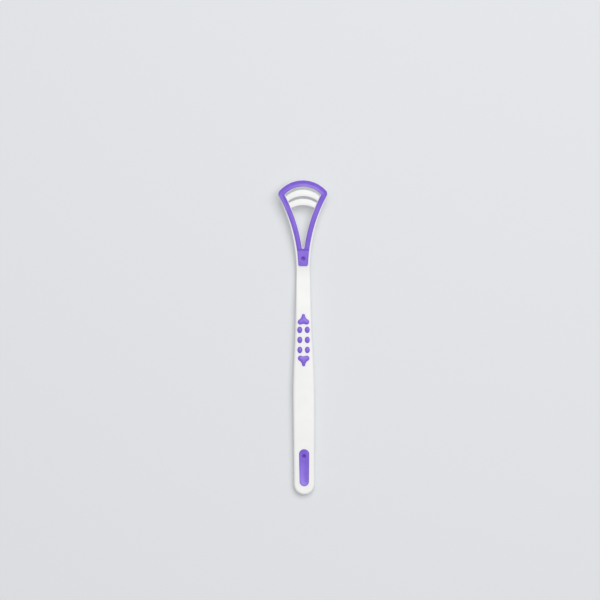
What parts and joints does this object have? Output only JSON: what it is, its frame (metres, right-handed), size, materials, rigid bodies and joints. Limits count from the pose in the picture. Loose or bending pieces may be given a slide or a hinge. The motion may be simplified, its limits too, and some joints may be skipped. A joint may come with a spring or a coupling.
{
  "type": "tongue scraper",
  "caption": "Hand-held tongue cleaner: slim white handle with soft violet grips and an open flared loop head with arched scraping ribs and a soft rim.",
  "frame": {"origin": "on the surface the tool lies on, under the middle of its length and width", "axes": "+Y along the handle towards the scraping head, +Z out of the front face, X across"},
  "size_m": [0.0298, 0.1883, 0.0131],
  "materials": {
    "core_plastic": "moulded polypropylene, soft gloss",
    "soft_overmould": "moulded thermoplastic elastomer, satin"
  },
  "bodies": {
    "root": {"handle_core": "core_plastic", "head_overlay": "soft_overmould", "grip_arrow_upper": "soft_overmould", "grip_arrow_lower": "soft_overmould", "grip_dot_1_left": "soft_overmould", "grip_dot_1_right": "soft_overmould", "grip_dot_2_left": "soft_overmould", "grip_dot_2_right": "soft_overmould", "grip_dot_3_left": "soft_overmould", "grip_dot_3_right": "soft_overmould", "tail_pad": "soft_overmould", "rear_grip_pad": "soft_overmould"}
  },
  "joints": []
}
